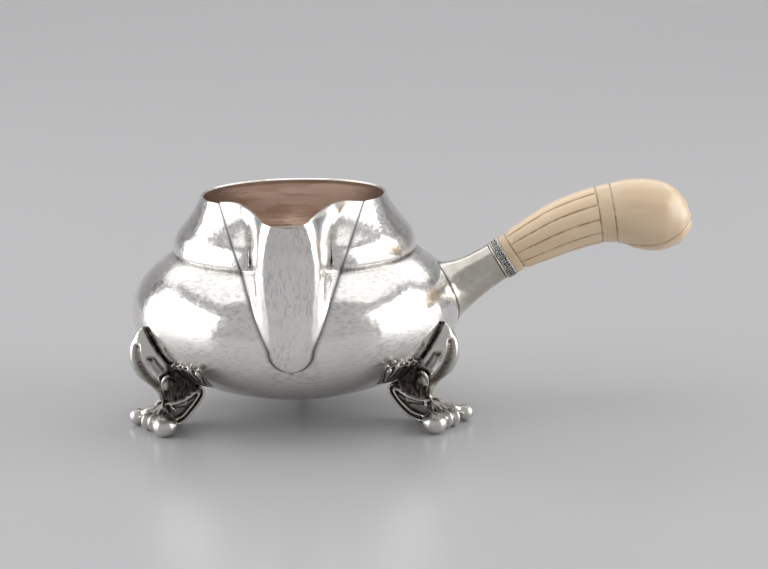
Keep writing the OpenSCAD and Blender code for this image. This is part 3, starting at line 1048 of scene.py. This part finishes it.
class Finish:
    """One procedural material, built up node by node."""

    def __init__(self, name, **base):
        self.material = bpy.data.materials.new(name)
        self.material.use_nodes = True
        self.tree = self.material.node_tree
        self.skin = self.tree.nodes["Principled BSDF"]
        self.set(self.skin, base)

    def set(self, node, inputs):
        for key, value in inputs.items():
            socket = node.inputs[key]
            if isinstance(value, bpy.types.NodeSocket):
                self.tree.links.new(value, socket)
            elif isinstance(value, tuple) and len(value) == 3 and socket.type == "RGBA":
                socket.default_value = (*value, 1)
            else:
                socket.default_value = value

    def add(self, kind, inputs=None, **settings):
        node = self.tree.nodes.new("ShaderNode" + kind)
        for key, value in settings.items():
            setattr(node, key, value)
        self.set(node, inputs or {})
        return node

    def mark(self, name):
        return self.add("Attribute", attribute_name=name).outputs["Fac"]

    def place(self, scale=(1, 1, 1)):
        where = self.add("TexCoord").outputs["Object"]
        return self.add("Mapping", {"Vector": where, "Scale": scale}).outputs["Vector"]

    def noise(self, size_mm, detail=2.0, stretch=(1, 1, 1)):
        return self.add("TexNoise", {"Vector": self.place(stretch), "Scale": 1000 / size_mm,
                                     "Detail": detail}).outputs["Fac"]

    def cells(self, size_mm):
        node = self.add("TexVoronoi", {"Vector": self.place(), "Scale": 1000 / size_mm,
                                       "Smoothness": 0.6}, feature="SMOOTH_F1")
        return node.outputs["Distance"]

    def math(self, operation, *values, clamp=False):
        node = self.add("Math", operation=operation, use_clamp=clamp)
        self.set(node, dict(enumerate(values)))
        return node.outputs[0]

    def times(self, first, second):
        return self.math("MULTIPLY", first, second)

    def larger(self, first, second):
        return self.math("MAXIMUM", first, second)

    def between(self, value, low, high, out_low=0.0, out_high=1.0):
        node = self.add("MapRange", {"Value": value, "From Min": low, "From Max": high,
                                     "To Min": out_low, "To Max": out_high},
                        interpolation_type="SMOOTHSTEP")
        return node.outputs["Result"]

    def blend(self, amount, first, second):
        node = self.add("Mix", data_type="RGBA")
        self.set(node, {0: amount, 6: first, 7: second})
        return node.outputs[2]

    def number(self, amount, first, second):
        node = self.add("Mix", data_type="FLOAT")
        self.set(node, {0: amount, 2: first, 3: second})
        return node.outputs[0]

    def bump(self, height, depth_mm, strength=1.0, over=None):
        inputs = {"Height": height, "Distance": depth_mm * MM, "Strength": strength}
        if over is not None:
            inputs["Normal"] = over
        return self.add("Bump", inputs).outputs["Normal"]


SILVER = (0.92, 0.89, 0.85)
BLACKENED = (0.028, 0.022, 0.019)


def hammered_silver():
    """Polished outside with fine tool marks, bumped and also painted as darker facet shade, with
    painted shade along the spout's seam and in the crease, and a warm, streaked gilt tone inside
    with painted shade towards its rim and sides.
    """
    f = Finish("hammered_silver", Metallic=1.0)
    inside, seam, crease = f.mark("inside"), f.mark("seam"), f.mark("crease")
    bloom = f.between(f.noise(9, 3), 0.35, 0.7)
    colour = f.blend(f.times(bloom, 0.3), SILVER, (0.80, 0.795, 0.79))
    lying = f.noise(0.8, 1.5, (0.36, 0.36, 1.0))
    standing = f.noise(0.72, 1.5, (1.0, 1.0, 0.3))
    marks = f.number(f.mark("upright"), lying, standing)
    # painted shade: the hammer marks are also painted as darker dashes, standing in for how the
    # facets' reflections break up; the same marks bump the surface
    painted_facet_shade = f.between(marks, 0.47, 0.64)
    some = f.between(f.noise(14, 2), 0.35, 0.62, 0.3, 1.0)
    shaded = f.times(f.times(painted_facet_shade, some), 0.5)
    colour = f.blend(shaded, colour, (0.50, 0.50, 0.52))
    streaks = f.between(f.noise(5, 3, (0.3, 0.3, 1.3)), 0.42, 0.62)
    gilt = f.blend(streaks, (1.0, 0.88, 0.79), (0.76, 0.60, 0.51))
    gilt = f.blend(f.mark("shade"), gilt, (0.25, 0.18, 0.14))
    wall_colour_with_painted_shade = f.blend(inside, colour, gilt)
    # painted shade on the outside only: dark along the spout's seam (painted shadow of the
    # tongue's lap, and a dark joint line where the seam lies flush) and in the crease groove
    dark = f.larger(f.times(seam, 0.9), f.times(crease, 0.55))
    outside = f.math("SUBTRACT", 1.0, inside, clamp=True)
    dark = f.times(dark, outside)
    f.set(f.skin, {"Base Color": f.blend(dark, wall_colour_with_painted_shade, (0.09, 0.085, 0.08))})
    rough = f.between(f.noise(2.2, 3), 0.3, 0.75, 0.13, 0.22)
    rough = f.number(inside, rough, 0.24)
    f.set(f.skin, {"Metallic": f.number(inside, 1.0, 0.7)})
    f.set(f.skin, {"Roughness": f.math("ADD", rough, f.times(dark, 0.25))})
    fine = f.bump(marks, 0.05, 0.55)
    fine = f.bump(f.times(streaks, inside), 0.25, 0.6, over=fine)
    f.set(f.skin, {"Normal": f.bump(f.noise(0.45, 2), 0.004, 0.5, over=fine)})
    return f.material


def cast_silver():
    """Bright on everything proud, black in the hollows, brushed brown-black on the cuff, and
    painted shadow in the gap where the foot meets the belly.
    """
    f = Finish("cast_silver", Metallic=1.0)
    hollow, cuff, knee, web = f.mark("hollow"), f.mark("cuff"), f.mark("knee"), f.mark("web")
    soot = f.between(hollow, 0.53, 0.72)
    hairs = f.noise(0.75, 2, (1, 1, 0.14))
    struck = f.between(f.noise(0.6, 2, (0.35, 0.35, 1.6)), 0.38, 0.66)
    # the cuff mark is the oxidised cuff and also painted shadow where the foot meets the belly
    cuff_dark_and_gap_shadow = f.times(cuff, f.between(hairs, 0.42, 0.66, 1.0, 0.74))
    knee_dark = f.times(knee, f.between(struck, 0, 1, 0.78, 0.95))
    dark = f.larger(soot, f.larger(cuff_dark_and_gap_shadow, knee_dark))
    dark = f.larger(dark, f.times(web, 0.8))
    brown = f.blend(f.between(f.noise(1.6, 3), 0.35, 0.65), BLACKENED, (0.11, 0.08, 0.07))
    f.set(f.skin, {"Base Color": f.blend(dark, (0.72, 0.705, 0.66), brown),
                   "Roughness": f.number(dark, 0.24, 0.4)})
    lines = f.bump(f.times(hairs, cuff), 0.12, 0.8)
    tooled = f.bump(f.times(struck, knee), 0.04, 0.8, over=lines)
    f.set(f.skin, {"Normal": f.bump(f.noise(0.9, 3), 0.02, 0.5, over=tooled)})
    return f.material


def darkened_silver(name, bright_from, size, bright):
    """Bright where it stands proud, and black in the hollows."""
    f = Finish(name, Metallic=1.0)
    soot = f.between(f.mark("hollow"), bright_from - 0.16, bright_from + 0.04)
    stain = f.blend(f.between(f.noise(1.3, 3), 0.4, 0.62), BLACKENED, (0.16, 0.13, 0.12))
    f.set(f.skin, {"Base Color": f.blend(soot, bright, stain),
                   "Roughness": f.number(soot, 0.22, 0.42)})
    f.set(f.skin, {"Normal": f.bump(f.noise(size, 2), 0.03, 0.6)})
    return f.material


def socket_silver():
    f = Finish("socket_silver", Metallic=1.0)
    edge = f.mark("foot_edge")
    cloud = f.blend(f.between(f.noise(6, 3), 0.35, 0.65), (0.66, 0.625, 0.565),
                    (0.53, 0.50, 0.445))
    f.set(f.skin, {"Base Color": f.blend(f.times(edge, 0.7), cloud,
                                         (0.12, 0.11, 0.10)),
                   "Roughness": f.between(f.noise(2.5, 3), 0.3, 0.7, 0.17, 0.28)})
    fine = f.bump(f.cells(1.8), 0.02, 0.4)
    f.set(f.skin, {"Normal": f.bump(f.noise(0.4, 2), 0.004, 0.5, over=fine)})
    return f.material


def ivory():
    f = Finish("ivory", Metallic=0.0, Roughness=0.3)
    grain = f.between(f.noise(3.5, 4, (0.25, 1, 1)), 0.3, 0.7)
    colour = f.blend(grain, (0.775, 0.61, 0.42), (0.72, 0.55, 0.365))
    colour = f.blend(f.times(f.mark("reeded"), 0.45), colour, (0.90, 0.70, 0.475))
    patchy = f.between(f.noise(3, 2), 0.35, 0.6, 0.35, 0.95)
    stain = f.times(f.mark("stain"), patchy)
    f.set(f.skin, {"Base Color": f.blend(stain, colour, (0.27, 0.15, 0.06)),
                   "Subsurface Weight": 0.25, "Subsurface Scale": 0.002,
                   "Subsurface Radius": (1.0, 0.75, 0.5), "Coat Weight": 0.25,
                   "Coat Roughness": 0.18})
    f.set(f.skin, {"Normal": f.bump(f.noise(1.1, 3), 0.012, 0.5)})
    return f.material


def wear(piece, material):
    piece.data.materials.clear()
    piece.data.materials.append(material)


def fit(piece, node, material):
    """Gives a finished piece its place in the frame."""
    wear(piece, material)
    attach(piece, "root")
    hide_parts(node)


# ---- the sauce boat

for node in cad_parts.values():
    node.select_set(False)

hammered = hammered_silver()
cast = cast_silver()
leaf_dark = darkened_silver("leaf_silver", 0.46, 0.5, (0.62, 0.60, 0.56))
band_dark = darkened_silver("band_silver", 0.42, 0.35, (0.66, 0.67, 0.64))
plain = socket_silver()

fit(make_lower_bowl(), "lower_bowl", hammered)
fit(make_neck_collar(), "neck_collar", hammered)
fit(make_spout(), "spout", hammered)
for foot in make_feet():
    fit(foot, foot.name.replace("_cast", ""), cast)
for mount in make_leaf_mounts():
    fit(mount, mount.name.replace("_cast", ""), leaf_dark)
fit(make_handle_socket(), "handle_socket", plain)
fit(make_socket_bead(), "socket_bead", plain)
fit(make_ferrule_band(), "ferrule_band", band_dark)
fit(make_ivory_handle(), "ivory_handle", ivory())
wear(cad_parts["handle_pin"], plain)


# ---- table, backdrop and lights

def make_backdrop():
    """A table top that sweeps up into the background behind it."""
    side = [(-1.2, 0), (2.2, 0)]
    side += [(2.2 + 0.6 * math.sin(a), 0.6 - 0.6 * math.cos(a))
             for a in np.radians(np.linspace(6, 90, 24))] + [(2.8, 2.2)]
    half = 3.0
    sweep = draw_line("backdrop", [(-half, y, z) for y, z in side], 1)
    bpy.ops.mesh.extrude_region_move(TRANSFORM_OT_translate={"value": (2 * half, 0, 0)})
    bpy.ops.mesh.select_all(action="SELECT")
    bpy.ops.mesh.normals_make_consistent(inside=False)
    done_editing()
    bpy.ops.object.shade_smooth()
    f = Finish("table_top", Roughness=0.3)
    f.set(f.skin, {"Base Color": (0.455, 0.452, 0.46), "Specular IOR Level": 0.32})
    wear(sweep, f.material)


def softbox(name, centre, aim, size, power):
    """A soft light: where it hangs, where it looks, its two sides, and its watts."""
    light = bpy.data.lights.new(name, "AREA")
    light.shape = "RECTANGLE"
    light.size, light.size_y = size
    light.energy = power
    lamp = bpy.data.objects.new(name, light)
    bpy.context.scene.collection.objects.link(lamp)
    lamp.location = centre
    lamp.rotation_euler = (Vector(aim) - Vector(centre)).to_track_quat("-Z", "Y").to_euler()


make_backdrop()
softbox("left_box", (-0.95, 0.03, 0.36), (0, 0.03, 0.3), (1.25, 0.70), 8.7)
softbox("right_box", (0.95, -0.04, 0.38), (0, -0.04, 0.3), (1.03, 0.74), 7.4)
softbox("top_box", (0.0, 0.9, 1.8), (0, 0.5, 0), (3.4, 3.0), 23)
softbox("back_box", (0.0, 2.1, 1.5), (0, 1.9, 0), (4.0, 1.2), 14)

world = bpy.data.worlds.new("room")
bpy.context.scene.world = world
world.use_nodes = True
world.node_tree.nodes["Background"].inputs["Color"].default_value = (0.44, 0.44, 0.445, 1)

lens = bpy.data.cameras.new("camera")
lens.sensor_width = 36
lens.lens = 107.8125
lens.clip_start = 0.02
camera = bpy.data.objects.new("camera", lens)
bpy.context.scene.collection.objects.link(camera)
VIEW_HEIGHT = math.radians(11.73)
VIEW_ROLL = math.radians(-0.988)
VIEW_DISTANCE = 0.7642
VIEW_TARGET = Vector((0.029254, 0, 0.041236))
back = Vector((0, -math.cos(VIEW_HEIGHT), math.sin(VIEW_HEIGHT)))
across, upright = Vector((1, 0, 0)), Vector((0, math.sin(VIEW_HEIGHT), math.cos(VIEW_HEIGHT)))
right = across * math.cos(VIEW_ROLL) + upright * math.sin(VIEW_ROLL)
up = upright * math.cos(VIEW_ROLL) - across * math.sin(VIEW_ROLL)
camera.matrix_world = Matrix.Translation(VIEW_TARGET + back * VIEW_DISTANCE) @ Matrix(
    (right, up, back)).transposed().to_4x4()
bpy.context.scene.camera = camera
bpy.context.scene.view_settings.view_transform = "Standard"
